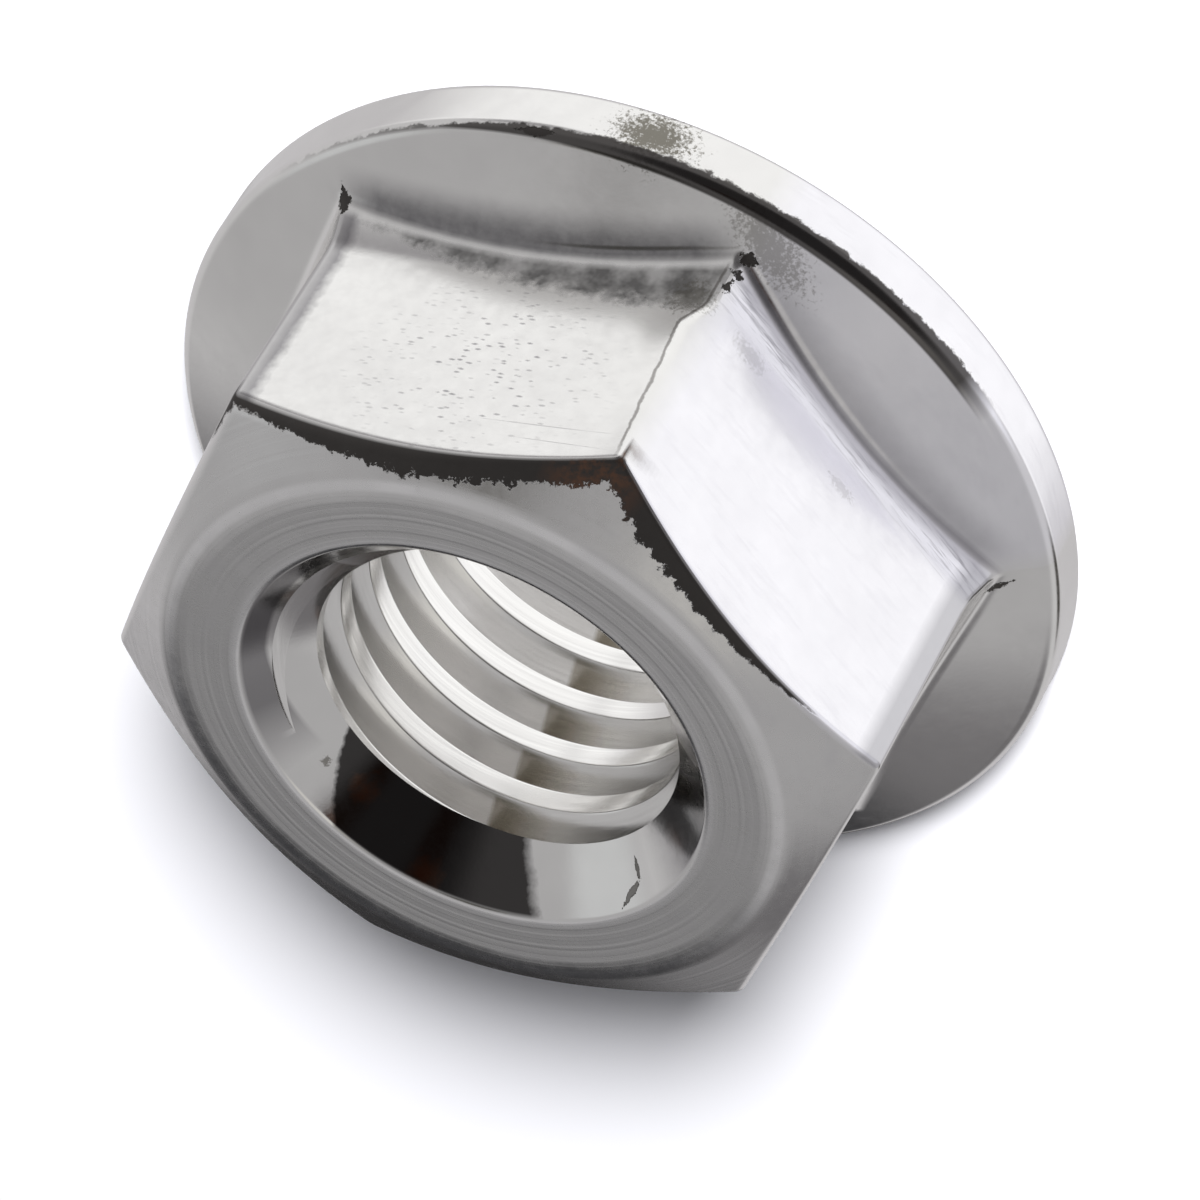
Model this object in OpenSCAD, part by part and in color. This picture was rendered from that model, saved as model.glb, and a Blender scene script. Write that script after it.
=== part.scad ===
// M8 serrated flange nut, cold formed in one piece.
// The bearing plane is z = 0, the thread axis is Z and one hexagon corner points along +X.

/* [Hexagon] */
// Width across flats
across_flats = 13; // [12:0.1:13.4]
// Overall height, from the tooth crests to the top face
nut_h = 7.8; // [6:0.1:10]
// How far each corner of the hexagon is blunted
corner_blunt = 0.085; // [0.02:0.01:0.3]
// Distance from the flats in to the flat ring of the top face
chamfer_in = 0.625; // [0.2:0.025:1]
// Slope of the chamfer cone below the top face
chamfer_angle = 30; // [15:1:40]

/* [Flange] */
// Outer diameter of the flange
flange_d = 17.3; // [17:0.1:19]
// Height of the rim's upper edge, before it is rounded
rim_h = 1.3; // [1:0.05:1.8]
// Slope of the flange's upper cone
flange_angle = 23; // [15:1:30]
// Radius of the rim's upper edge
rim_top_r = 0.22; // [0.1:0.02:0.4]
// Radius of the rim's lower edge
rim_bottom_r = 0.2; // [0.1:0.05:0.35]
// Radius of the fillet where each flat runs out into the flange
root_r = 3.2; // [2.6:0.1:5]
// Height at which that fillet leaves the flat
root_h = 3.1; // [2.7:0.1:3.6]

/* [Bearing face] */
// Width of the relief cone between the flat tooth crests and the rim
relief_w = 0.55; // [0.3:0.05:1]
// Slope of that relief cone
relief_angle = 12; // [5:1:25]
// Number of locking teeth
tooth_count = 24; // [16:1:30]
// Tooth depth at the outer end of a tooth
tooth_h = 0.36; // [0.2:0.02:0.5]
// Share of the tooth pitch that is flat crest
crest_share = 0.14; // [0.08:0.02:0.3]
// Inner diameter of the teeth
tooth_inner_d = 10.9; // [10:0.1:12]
// Distance from the outer end of the teeth to the rim
tooth_margin = 0.35; // [0.3:0.05:1]
// Depth of the plain ring inside the teeth
inner_recess = 0.16; // [0.05:0.01:0.25]

/* [Bore] */
// Thread minor diameter, the wall that the bolt's thread grips
bore_d = 6.9; // [6.6:0.05:7.2]
// Mouth diameter of the countersink in the top face
top_sink_d = 9; // [8:0.1:9.6]
// Full angle of the countersink in the top face
top_sink_angle = 90; // [60:5:120]
// Mouth diameter of the countersink in the bearing face
bottom_sink_d = 8.7; // [8:0.1:9]
// Full angle of the countersink in the bearing face
bottom_sink_angle = 90; // [60:5:120]

/* [Hidden] */
$fn = 96;
steel = [0.78, 0.77, 0.78];
overshoot = 1;

// A flat of the hexagon faces half_side away from the corner beside it.
half_side = 30;
half_flats = across_flats / 2;
corner_r = half_flats / cos(half_side) - corner_blunt;
top_ring_r = half_flats - chamfer_in;

flange_r = flange_d / 2;
crest_r = flange_r - relief_w;
bore_r = bore_d / 2;

// The root fillets are carried down to skirt_z, inside the flange.
skirt_depth = 0.2;
skirt_z = rim_h - skirt_depth;

// The relief cone meets the rim's upright side at rim_low, where the lower edge is rounded.
rim_low = relief_w * tan(relief_angle);
low_tangent = rim_bottom_r / tan(45 + relief_angle / 2);
top_tangent = rim_top_r / tan(45 + flange_angle / 2);

tooth_outer_r = flange_r - tooth_margin;
tooth_pitch = 360 / tooth_count;
ramp_angle = tooth_pitch * (1 - crest_share);

// Height of the flange's upper cone at radius r.
function cone_z(r) = rim_h + (flange_r - r) * tan(flange_angle);

// How far the root fillet of radius r stands out at height z; it is a quarter circle at most.
function flare(r, z) = r - sqrt(r * r - pow(min(root_h - z, r), 2));

module rim_edge(r, centre_z) {
    translate([flange_r - r, centre_z])
        circle(r = r);
}

module flange_section() {
    polygon([
        [0, 0],
        [crest_r, 0],
        [flange_r - low_tangent * cos(relief_angle), rim_low - low_tangent * sin(relief_angle)],
        [flange_r, rim_low + low_tangent],
        [flange_r, rim_h - top_tangent],
        [flange_r - top_tangent * cos(flange_angle), rim_h + top_tangent * sin(flange_angle)],
        [bore_r, cone_z(bore_r)],
        [0, cone_z(bore_r)]
    ]);
    rim_edge(rim_bottom_r, rim_low + low_tangent);
    rim_edge(rim_top_r, rim_h - top_tangent);
}

module flange() {
    rotate_extrude()
        flange_section();
}

// Half of the section across two flats: straight above root_h, flaring below it.
module flat_section(half_width, r) {
    reach = half_width + flare(r, skirt_z);
    difference() {
        translate([0, skirt_z])
            square([reach, nut_h - skirt_z]);
        translate([half_width, root_h])
            square([reach, nut_h]);
        translate([half_width + r, root_h])
            circle(r = r);
    }
}

// The pair of opposite flats that face along X, with their root fillets.
module flat_pair() {
    rotate([90, 0, 0])
        linear_extrude(height = 2 * flange_d, center = true)
            union() {
                flat_section(half_flats, root_r);
                mirror([1, 0])
                    flat_section(half_flats, root_r);
            }
}

// Round envelope of the hexagon: blunt corners that flare with the flats, and the chamfer cone.
// It stops short of the rim, so the flare never stands out over the flange.
module corner_envelope() {
    limit_r = flange_r - rim_top_r;
    rotate_extrude()
        intersection() {
            flat_section(corner_r, root_r * cos(half_side));
            polygon([
                [0, 0],
                [limit_r, 0],
                [limit_r, nut_h - (limit_r - top_ring_r) * tan(chamfer_angle)],
                [top_ring_r, nut_h],
                [0, nut_h]
            ]);
        }
}

module hexagon() {
    intersection() {
        corner_envelope();
        intersection_for(i = [0 : 2])
            rotate([0, 0, half_side * (2 * i + 1)])
                flat_pair();
    }
}

// Thread hole with a countersink at each end.
module bore() {
    top_depth = (top_sink_d - bore_d) / 2 / tan(top_sink_angle / 2);
    bottom_depth = (bottom_sink_d - bore_d) / 2 / tan(bottom_sink_angle / 2);
    rotate_extrude()
        polygon([
            [0, -overshoot],
            [bottom_sink_d / 2 + overshoot * tan(bottom_sink_angle / 2), -overshoot],
            [bore_r, bottom_depth],
            [bore_r, nut_h - top_depth],
            [top_sink_d / 2 + overshoot * tan(top_sink_angle / 2), nut_h + overshoot],
            [0, nut_h + overshoot]
        ]);
}

// Plain ring inside the teeth, clear of the clamped part.
module inner_ring() {
    translate([0, 0, -overshoot])
        cylinder(d = tooth_inner_d, h = overshoot + inner_recess);
}

// One tooth gap: a steep wall in the plane y = 0, then a ramp that rises to the next crest.
// Both planes pass through the origin, so the gap widens and deepens with the radius.
module tooth_gap() {
    ramp_tilt = atan(tooth_h / (tooth_outer_r * sin(ramp_angle)));
    intersection() {
        translate([0, 0, -overshoot])
            cube([flange_d, flange_d, 2 * overshoot]);
        rotate([0, 0, ramp_angle])
            rotate([-ramp_tilt, 0, 0])
                translate([0, -flange_d, -2 * overshoot])
                    cube([flange_d, 2 * flange_d, 2 * overshoot]);
    }
}

module tooth_ring() {
    rotate_extrude()
        translate([tooth_inner_d / 2, -overshoot])
            square([tooth_outer_r - tooth_inner_d / 2, 2 * overshoot]);
}

// One crest is centred on +X.
module tooth_gaps() {
    intersection() {
        tooth_ring();
        for (i = [0 : tooth_count - 1])
            rotate([0, 0, (i + crest_share / 2) * tooth_pitch])
                tooth_gap();
    }
}

module flange_nut() {
    color(steel)
        difference() {
            union() {
                flange();
                hexagon();
            }
            bore();
            inner_ring();
            tooth_gaps();
        }
}

flange_nut();
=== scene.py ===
import math

import bmesh
import bpy
from mathutils import Matrix, Vector


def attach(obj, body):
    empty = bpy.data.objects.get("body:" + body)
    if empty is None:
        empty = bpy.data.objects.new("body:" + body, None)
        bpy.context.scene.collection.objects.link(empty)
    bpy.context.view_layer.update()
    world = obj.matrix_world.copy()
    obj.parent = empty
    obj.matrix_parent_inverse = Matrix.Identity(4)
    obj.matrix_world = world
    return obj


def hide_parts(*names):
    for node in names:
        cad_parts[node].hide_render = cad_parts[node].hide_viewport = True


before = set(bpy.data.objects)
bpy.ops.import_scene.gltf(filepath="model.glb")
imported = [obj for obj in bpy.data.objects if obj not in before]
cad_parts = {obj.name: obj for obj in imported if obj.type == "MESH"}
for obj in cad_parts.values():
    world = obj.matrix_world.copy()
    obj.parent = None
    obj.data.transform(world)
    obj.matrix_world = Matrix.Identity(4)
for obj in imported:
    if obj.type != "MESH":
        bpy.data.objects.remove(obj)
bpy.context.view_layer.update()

# Nut body
# A cold-formed steel nut: a hexagon that flares out into a round flange, in one piece.
# Its section is turned once round the axis, and each vertex is then moved to where the real
# section lies at its own angle, so that flats, chamfer, root fillets and teeth come out of one skin.

# Lengths are in millimetres, up to where MM turns them to metres.
MM = 0.001
SIXTH = math.radians(60)
HALF_SIDE = SIXTH / 2

# Hexagon, with its chamfer and its flat top ring.
HALF_FLATS = 6.5
CORNER_ROUND = 0.2
NUT_HEIGHT = 7.8
TOP_RING_R = 5.875
CHAMFER = math.tan(math.radians(30))
CHAMFER_ROUND = 0.17
FACE_ROUND = 1.2

# One corner is worn soft at the chamfer, and the next one's ridge is bent aside above its root.
SOFT_CORNER = math.radians(300)
SOFT_ROUND = 0.45
SOFT_REACH = math.radians(34)
BENT_CORNER = math.radians(240)
BEND = math.radians(1.9)
BEND_REACH = math.radians(6)
BEND_TOP = 6.9
BEND_PEAK = 3.45
BEND_FOOT = 2.7

# Flange, and the fillet by which each flat runs out into it, a little bulged in its middle.
FLANGE_R = 8.65
RIM_HEIGHT = 1.3
CONE = math.tan(math.radians(23))
RIM_TOP_ROUND = 0.3
RIM_LOW_ROUND = 0.2
ROOT_R = 3.2
ROOT_HEIGHT = 2.85
ROOT_ROUND = 0.5
ROOT_BULGE = 0.11
BULGE_DROP = 1
ROOT_ROWS = (0.6, 0.8)

# Bearing face: a relief cone by the rim, ratchet teeth, and a plain ring inside them.
CREST_R = 8.1
RELIEF = math.tan(math.radians(12))
TOOTH_COUNT = 24
TOOTH_DEPTH = 0.36
TOOTH_INNER_R = 5.45
TOOTH_OUTER_R = 8.3
TOOTH_TURN = math.radians(360 / TOOTH_COUNT)
HALF_CREST = math.radians(1.05)
WALL_TURN = math.radians(0.3)
RING_RECESS = 0.16
RING_ROUND = 0.05
GAP_ROUND = 0.03
GAP_STEP = 0.06

# Countersinks of 45 degrees a side, down to a core that the tap then takes out.
MOUTH_R = 4.5
MOUTH_ROUND = 0.17
LOW_MOUTH_R = 4.35
CORE_R = 3.2

# A rounded corner has a holding point HOLD beyond each end, and takes up to EDGE_SHARE of an edge.
HOLD = 0.03
EDGE_SHARE = 0.4

# Columns crowd where the shape turns fast: (column, degrees) within one hexagon side and one tooth.
# They follow the teeth below SIDE_LOW, and turn to the hexagon's places over SIDE_SPAN above it.
COLUMNS = 576
SIDE_STATIONS = ((0, 0), (6, 1.5), (9, 2.5), (87, 57.5), (90, 58.5), (96, 60))
TOOTH_STATIONS = ((0, 0), (3, 0.95), (9, 1.45), (12, 2.4), (20, 13.2), (22, 14), (24, 15))
SIDE_LOW = 0.3
SIDE_SPAN = 0.75

# Vertices nearer than WELD are merged.
WELD = 0.001


def station(column, stations):
    """Angle of a column, in radians, in a pattern that repeats every stations[-1]."""
    count, degrees = stations[-1]
    turn, place = divmod(column, count)
    for (c0, a0), (c1, a1) in zip(stations, stations[1:]):
        if place <= c1:
            return math.radians(turn * degrees + a0 + (a1 - a0) * (place - c0) / (c1 - c0))


def hexagon_r(turn, half_width):
    """Radius of the hexagon's side at an angle, with its corners rounded."""
    from_middle = turn % SIXTH - HALF_SIDE
    from_corner = HALF_SIDE - abs(from_middle)
    centre = (half_width - CORNER_ROUND) / math.cos(HALF_SIDE)
    end = math.atan2(CORNER_ROUND / 2, centre + CORNER_ROUND * math.cos(HALF_SIDE))
    if from_corner >= end:
        return half_width / math.cos(from_middle)
    aside = centre * math.sin(from_corner)
    return centre * math.cos(from_corner) + math.sqrt(CORNER_ROUND ** 2 - aside ** 2)


def near(turn, centre, reach):
    """A bell that is 1 at an angle and falls off over a reach."""
    away = (turn - centre + math.pi) % math.tau - math.pi
    return math.exp(-(away / reach) ** 2)


def bend(turn, z):
    """How far one corner's ridge is pushed aside at a height, furthest just above its root."""
    rise = min(max((BEND_TOP - z) / (BEND_TOP - BEND_PEAK), 0), 1)
    fall = min(max((z - BEND_FOOT) / (BEND_PEAK - BEND_FOOT), 0), 1)
    return BEND * near(turn, BENT_CORNER, BEND_REACH) * min(rise, fall * fall * (3 - 2 * fall))


def wall_r(turn, z):
    """Radius of the hexagon's wall at a height: its root flares out and bulges between corners."""
    drop = ROOT_HEIGHT - z
    flare = ROOT_R - math.sqrt(ROOT_R ** 2 - drop ** 2)
    between = math.cos(3 * (turn % SIXTH - HALF_SIDE))
    bulge = ROOT_BULGE * min(drop / BULGE_DROP, 1) ** 2 * between
    return hexagon_r(turn, HALF_FLATS + flare) + bulge


def tooth_z(turn, r):
    """Height of the toothed face: a flat crest, a steep wall, then a ramp up to the next crest."""
    after_crest = turn % TOOTH_TURN - HALF_CREST
    ramp = TOOTH_TURN - 2 * HALF_CREST
    if after_crest < 0 or after_crest > ramp:
        return 0.0
    wall = min(after_crest / WALL_TURN, 1)
    wall = wall * wall * (3 - 2 * wall)
    slope = math.sin(ramp - after_crest) / math.sin(ramp)
    return TOOTH_DEPTH * r / TOOTH_OUTER_R * wall * slope


def rounded(corners):
    """Outline through (r, z, radius, steps), each corner rounded, with holding points beside it."""
    points = []
    spots = [Vector(corner[:2]) for corner in corners]
    for i, (r, z, radius, steps) in enumerate(corners):
        here = spots[i]
        back = spots[i - 1] - here
        ahead = spots[(i + 1) % len(spots)] - here
        if steps == 0:
            points.append(here)
            continue
        half = back.angle(ahead) / 2
        reach = min(radius / math.tan(half), EDGE_SHARE * back.length, EDGE_SHARE * ahead.length)
        back.normalize()
        ahead.normalize()
        centre = here + (back + ahead).normalized() * reach / math.cos(half)
        start = here + back * reach - centre
        end = here + ahead * reach - centre
        sweep = math.pi - 2 * half
        points.append(here + back * (reach + HOLD))
        for step in range(steps + 1):
            share = step / steps
            spoke = start * math.sin((1 - share) * sweep) + end * math.sin(share * sweep)
            points.append(centre + spoke / math.sin(sweep))
        points.append(here + ahead * (reach + HOLD))
    return points


def root_junction(turn):
    """Where the root fillet meets the flange's cone, by halving the height between two bounds."""
    low, high = RIM_HEIGHT, ROOT_HEIGHT
    for _ in range(30):
        z = (low + high) / 2
        r = wall_r(turn, z)
        if z > RIM_HEIGHT + (FLANGE_R - r) * CONE:
            high = z
        else:
            low = z
    return r, z


def section(tooth_turn, side_turn):
    """The nut's closed section (r, z) at one column, from the bore round the outside and back."""
    side_r = hexagon_r(side_turn, HALF_FLATS)
    join_r, join_z = root_junction(side_turn)
    gap_r = TOOTH_OUTER_R - GAP_STEP
    gap_z = max(tooth_z(tooth_turn, TOOTH_OUTER_R), (gap_r - CREST_R) * RELIEF)
    soft = near(side_turn, SOFT_CORNER, SOFT_REACH)
    edge_round = CHAMFER_ROUND + (SOFT_ROUND - CHAMFER_ROUND) * soft
    corners = [
        (CORE_R, LOW_MOUTH_R - CORE_R, 0, 0),
        (LOW_MOUTH_R - RING_RECESS, RING_RECESS, RING_ROUND, 2),
        (TOOTH_INNER_R - GAP_STEP, RING_RECESS, RING_ROUND, 2),
        (TOOTH_INNER_R + GAP_STEP, tooth_z(tooth_turn, TOOTH_INNER_R), RING_ROUND, 2),
        (CREST_R, tooth_z(tooth_turn, CREST_R), 0, 0),
        (gap_r, gap_z, GAP_ROUND, 2),
        (TOOTH_OUTER_R, (TOOTH_OUTER_R - CREST_R) * RELIEF, GAP_ROUND, 2),
        (FLANGE_R, (FLANGE_R - CREST_R) * RELIEF, RIM_LOW_ROUND, 5),
        (FLANGE_R, RIM_HEIGHT, RIM_TOP_ROUND, 6),
        (join_r, join_z, ROOT_ROUND, 5),
    ]
    for share in ROOT_ROWS:
        z = join_z + (ROOT_HEIGHT - join_z) * share
        corners.append((wall_r(side_turn, z), z, 0, 0))
    corners += [
        (side_r, ROOT_HEIGHT, 0, 0),
        (side_r, BEND_PEAK, 0, 0),
        (side_r, NUT_HEIGHT - (side_r - TOP_RING_R) * CHAMFER, edge_round, 7),
        (TOP_RING_R, NUT_HEIGHT, FACE_ROUND, 5),
        (MOUTH_R, NUT_HEIGHT, MOUTH_ROUND, 5),
        (CORE_R, NUT_HEIGHT - (MOUTH_R - CORE_R), 0, 0),
    ]
    return rounded(corners)


def in_order(bm):
    """The same faces in a fixed order, because a spin lists them in another one on each run."""
    bm.verts.index_update()
    loops = []
    for face in bm.faces:
        loop = [vert.index for vert in face.verts]
        first = loop.index(min(loop))
        loops.append(loop[first:] + loop[:first])
    fixed = bmesh.new()
    verts = [fixed.verts.new(vert.co) for vert in bm.verts]
    for loop in sorted(loops):
        fixed.faces.new([verts[index] for index in loop])
    bm.free()
    return fixed


def new_object(name, bm):
    """An object of the scene from a bmesh, which is used up."""
    mesh = bpy.data.meshes.new(name)
    bm.to_mesh(mesh)
    bm.free()
    piece = bpy.data.objects.new(name, mesh)
    bpy.context.collection.objects.link(piece)
    return piece


bm = bmesh.new()
row_of = bm.verts.layers.int.new("row")
loop = [bm.verts.new((point.x, 0, point.y)) for point in section(0, 0)]
for row, vert in enumerate(loop):
    vert[row_of] = row
edges = [bm.edges.new((a, b)) for a, b in zip(loop, loop[1:] + loop[:1])]
bmesh.ops.spin(
    bm, geom=loop + edges, cent=(0, 0, 0), axis=(0, 0, 1),
    angle=SIXTH, steps=COLUMNS // 6, use_merge=False,
)
bmesh.ops.spin(
    bm, geom=bm.verts[:] + bm.edges[:] + bm.faces[:], cent=(0, 0, 0), axis=(0, 0, 1),
    angle=5 * SIXTH, steps=5, use_duplicate=True,
)
bmesh.ops.remove_doubles(bm, verts=bm.verts, dist=WELD)
columns = {}
for vert in bm.verts:
    column = round(math.atan2(vert.co.y, vert.co.x) / math.tau * COLUMNS) % COLUMNS
    columns.setdefault(column, []).append(vert)
for column, verts in columns.items():
    tooth_turn = station(column, TOOTH_STATIONS)
    side_turn = station(column, SIDE_STATIONS)
    outline = section(tooth_turn, side_turn)
    for vert in verts:
        r, z = outline[vert[row_of]]
        share = min(max((z - SIDE_LOW) / SIDE_SPAN, 0), 1)
        turn = tooth_turn + (side_turn - tooth_turn) * share + bend(side_turn, z)
        vert.co = (r * math.cos(turn) * MM, r * math.sin(turn) * MM, z * MM)
bm = in_order(bm)
bmesh.ops.recalc_face_normals(bm, faces=bm.faces)
nut = new_object("nut", bm)

# Thread
# An M8 coarse thread, cut by a tap: crests 0.47 mm wide with rounded edges, 60 degree flanks.
# One pitch of the tap is swept up the helix, closed at both ends and taken out of the body.
PITCH = 1.25
CREST_W = 0.47
MINOR_R = 3.45
MAJOR_R = 4.08
HALF_FLANK = math.radians(30)
THREAD_ROUND = 0.035
CREST_AT = 6.72
TURN_STEPS = 140
TAP_LOW = -0.6
TAP_HIGH = 8.6
SHARP_FROM = math.radians(35)

# The first corner only gives the outline its way in, and isn't swept.
half_groove = (PITCH - CREST_W) / 2
half_root = half_groove - (MAJOR_R - MINOR_R) * math.tan(HALF_FLANK)
profile = rounded([
    (CORE_R - 1, -PITCH / 2, 0, 0),
    (MINOR_R, -PITCH / 2, 0, 0),
    (MINOR_R, -half_groove, THREAD_ROUND, 3),
    (MAJOR_R, -half_root, THREAD_ROUND / 2, 2),
    (MAJOR_R, half_root, THREAD_ROUND / 2, 2),
    (MINOR_R, half_groove, THREAD_ROUND, 3),
    (MINOR_R, PITCH / 2, 0, 0),
])[1:]

# The helix starts below the nut, whole turns under the crest that shows at CREST_AT.
turns = math.ceil((TAP_HIGH - TAP_LOW) / PITCH) + 3
start_z = CREST_AT - PITCH / 2 - PITCH * math.ceil((CREST_AT - TAP_LOW) / PITCH + 1)
bm = bmesh.new()
loop = [bm.verts.new((point.x * MM, 0, (point.y + start_z) * MM)) for point in profile]
edges = [bm.edges.new(pair) for pair in zip(loop, loop[1:])]
bmesh.ops.spin(
    bm, geom=loop + edges, cent=(0, 0, 0), axis=(0, 0, 1), dvec=(0, 0, PITCH / TURN_STEPS * MM),
    angle=math.tau, steps=TURN_STEPS, use_merge=False,
)
bm = in_order(bm)
one_turn = bm.verts[:] + bm.edges[:] + bm.faces[:]
for turn in range(1, turns):
    copy = bmesh.ops.duplicate(bm, geom=one_turn)["geom"]
    verts = [part for part in copy if isinstance(part, bmesh.types.BMVert)]
    bmesh.ops.translate(bm, verts=verts, vec=(0, 0, turn * PITCH * MM))
bmesh.ops.remove_doubles(bm, verts=bm.verts, dist=WELD * MM)
for height, up in ((TAP_LOW, -1), (TAP_HIGH, 1)):
    bmesh.ops.bisect_plane(
        bm, geom=bm.verts[:] + bm.edges[:] + bm.faces[:], dist=1e-7,
        plane_co=(0, 0, height * MM), plane_no=(0, 0, up), clear_outer=True,
    )
    rim = [edge for edge in bm.edges if edge.is_boundary]
    rim = [edge for edge in rim if all(abs(v.co.z - height * MM) < WELD * MM for v in edge.verts)]
    bmesh.ops.contextual_create(bm, geom=rim)
bmesh.ops.recalc_face_normals(bm, faces=bm.faces)
tap = new_object("tap", bm)

cut = nut.modifiers.new("thread", "BOOLEAN")
cut.operation = "DIFFERENCE"
cut.solver = "MANIFOLD"
cut.object = tap
threaded = bpy.data.meshes.new_from_object(nut.evaluated_get(bpy.context.evaluated_depsgraph_get()))
nut.modifiers.clear()
nut.data = threaded
bpy.data.objects.remove(tap)
threaded.shade_smooth()
threaded.set_sharp_from_angle(angle=SHARP_FROM)
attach(nut, "root")
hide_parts("flange_nut")

# Steel finish
# Bright cold-formed steel, bare and polished by the dies: near white where it mirrors the paper.
# The forming left residue and torn grain at the roots, corners and edges, darkest at one corner.
# Painted shade, painted dark reflections and painted highlights are laid into this colour where noted
# below.
BRIGHT_STEEL = "#F0EFED"
LIT_SIDE_STEEL = "#F9F8FC"
SATIN_STEEL = "#E2E1E0"
RING_HIGHLIGHT = "#F7F6F6"
DULL_STEEL = "#77757A"
SMEARED_STEEL = "#A8A4B2"
GREYED_STEEL = "#C9C8CC"
CORNER_SHADE_GREY = "#8F8D90"
SEAM_STEEL = "#98959C"
DRAWN_STEEL = "#7B797F"
SPECKLED_STEEL = "#6B675C"
FOOT_SHADE_AND_RESIDUE = "#5A585D"
SINK_DARK_REFLECTION = "#6A676B"
BURNT_FILM = "#4C4A49"
BAND_SHADE_AND_RESIDUE = "#5E5D5C"
RIDGE_LINE_TONE = "#6E6A66"
RESIDUE_AND_DARK_REFLECTION = "#54514F"
RUSTY_RESIDUE = "#7A5F50"

# The two sides that carry the marks, and the angles from their middle between which these fade.
MARKED_SIDE = math.radians(-90)
SMEARED_SIDE = math.radians(-150)
MARKED_EDGE = (math.radians(32), math.radians(28))
SMEARED_EDGE = (math.radians(31), math.radians(27))

# Torn spots and cracks, pointed: place (x, y, z), heading in degrees, half length, half width and
# half height, all in millimetres, and how dark each is.
TORN_SPOTS = (
    (3.8, -6.7, 1.7, -75, 0.46, 0.16, 0.3, 1),
    (-7.58, 0.33, 1.68, -167, 0.5, 0.1, 0.3, 0.85),
    (-4.0, -6.66, 1.7, -120, 0.3, 0.2, 0.15, 1),
    (-3.8, -6.45, 1.95, -150, 0.26, 0.2, 0.2, 1),
    (-3.88, -6.55, 2.3, -140, 0.2, 0.16, 0.2, 0.9),
    (-0.1, -8.6, 1.28, 0, 0.42, 0.12, 0.12, 1),
    (-2.42, 3.53, 7.58, 58, 0.42, 0.06, 0.5, 0.55),
    (-2.47, 3.16, 7.31, -52, 0.28, 0.06, 0.5, 0.6),
)
# Fine scratches on the marked side: place along it and up, slope in degrees, half length and width.
SCRATCHES = (
    (-2.2, 6.36, 2, 1.25, 0.016),
    (-2.5, 6.72, 1, 1.0, 0.013),
)
# Softer stains, round in section: place, heading, half length, half width and how dark each is.
STAINS = (
    (-4.35, -7.0, 1.6, -60, 1.2, 0.5, 0.5),
    (-2.12, -8.38, 0.75, -14, 0.8, 0.62, 0.9),
    (-3.3, -6.45, 2.7, -100, 0.5, 0.45, 0.5),
    (-4.33, -5.5, 2.85, -60, 0.5, 0.2, 0.2),
    (-5.75, -3.0, 3.2, -60, 0.4, 0.15, 0.2),
    (3.5, 1.85, 7.26, 0, 0.11, 0.11, 0.7),
)
# Brown tints in the countersink's burnt part: place and reach.
TINTS = (
    (2.91, 2.53, 7.16, 0.4),
    (1.77, 3.97, 7.65, 0.45),
)


def linear(text):
    """Linear colour of an sRGB hex value."""
    parts = [int(text[i:i + 2], 16) / 255 for i in (1, 3, 5)]
    return [c / 12.92 if c <= 0.04045 else ((c + 0.055) / 1.055) ** 2.4 for c in parts] + [1]


# Inputs go by name or number: a MapRange has 1 and 2 for the range it reads, 3 and 4 for the one it
# gives, 0 to 1 unless told, and a colour Mix has 0 for its share and 6 and 7 for its colours.
def add(tree, kind, inputs=None, **settings):
    """Adds a node with its settings; an input is a value, a socket or another node."""
    node = tree.nodes.new("ShaderNode" + kind)
    for name, value in settings.items():
        setattr(node, name, value)
    for name, value in (inputs or {}).items():
        if isinstance(value, bpy.types.Node):
            value = next(socket for socket in value.outputs if socket.enabled)
        if isinstance(value, bpy.types.NodeSocket):
            tree.links.new(value, node.inputs[name])
        else:
            node.inputs[name].default_value = value
    return node


def bare_metal(name):
    """A new metal material, with its node tree and its shader."""
    metal = bpy.data.materials.new(name)
    metal.use_nodes = True
    shader = metal.node_tree.nodes["Principled BSDF"]
    shader.inputs["Metallic"].default_value = 1
    return metal, metal.node_tree, shader


def places(tree):
    """A point's place on the nut in millimetres, its height, distance from the axis and angle."""
    coords = add(tree, "TexCoord")
    place = add(tree, "Mapping", {"Vector": coords.outputs["Object"], "Scale": [1 / MM] * 3})
    x, y, z = add(tree, "SeparateXYZ", {0: place}).outputs
    level = add(tree, "VectorMath", {0: place, 1: (1, 1, 0)}, operation="MULTIPLY")
    radius = add(tree, "VectorMath", {0: level}, operation="LENGTH")
    angle = add(tree, "Math", {0: y, 1: x}, operation="ARCTAN2")
    return place, z, radius, angle


steel, tree, shader = bare_metal("bright_formed_steel")
place, z, radius, angle = places(tree)

# Each side's own measures: straight out from the axis, along the side from its middle, and how far
# inside the flats a point lies.
side = add(tree, "Math", {0: angle, 1: SIXTH}, operation="FLOORED_MODULO")
side = add(tree, "Math", {0: side, 1: HALF_SIDE}, operation="SUBTRACT")
cosine = add(tree, "Math", {0: side}, operation="COSINE")
sine = add(tree, "Math", {0: side}, operation="SINE")
out = add(tree, "Math", {0: radius, 1: cosine}, operation="MULTIPLY")
along = add(tree, "Math", {0: radius, 1: sine}, operation="MULTIPLY")
on_side = add(tree, "CombineXYZ", {0: along, 1: z, 2: angle})
inward = add(tree, "Math", {0: HALF_FLATS, 1: out}, operation="SUBTRACT")

# Grain left by the dies: blotches of 1 to 2 mm, torn edges of 0.1 to 0.3 mm, specks below that.
BLOTCHES_PER_MM = 0.7
TEARS_PER_MM = 3.4
SPECKS_PER_MM = 13
blotch = add(tree, "TexNoise", {
    "Vector": place, "Scale": BLOTCHES_PER_MM, "Detail": 2, "Roughness": 0.6,
})
torn = add(tree, "TexNoise", {
    "Vector": place, "Scale": TEARS_PER_MM, "Detail": 4, "Roughness": 0.7,
})
fine = add(tree, "TexNoise", {
    "Vector": place, "Scale": SPECKS_PER_MM, "Detail": 2, "Roughness": 0.7,
})

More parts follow.
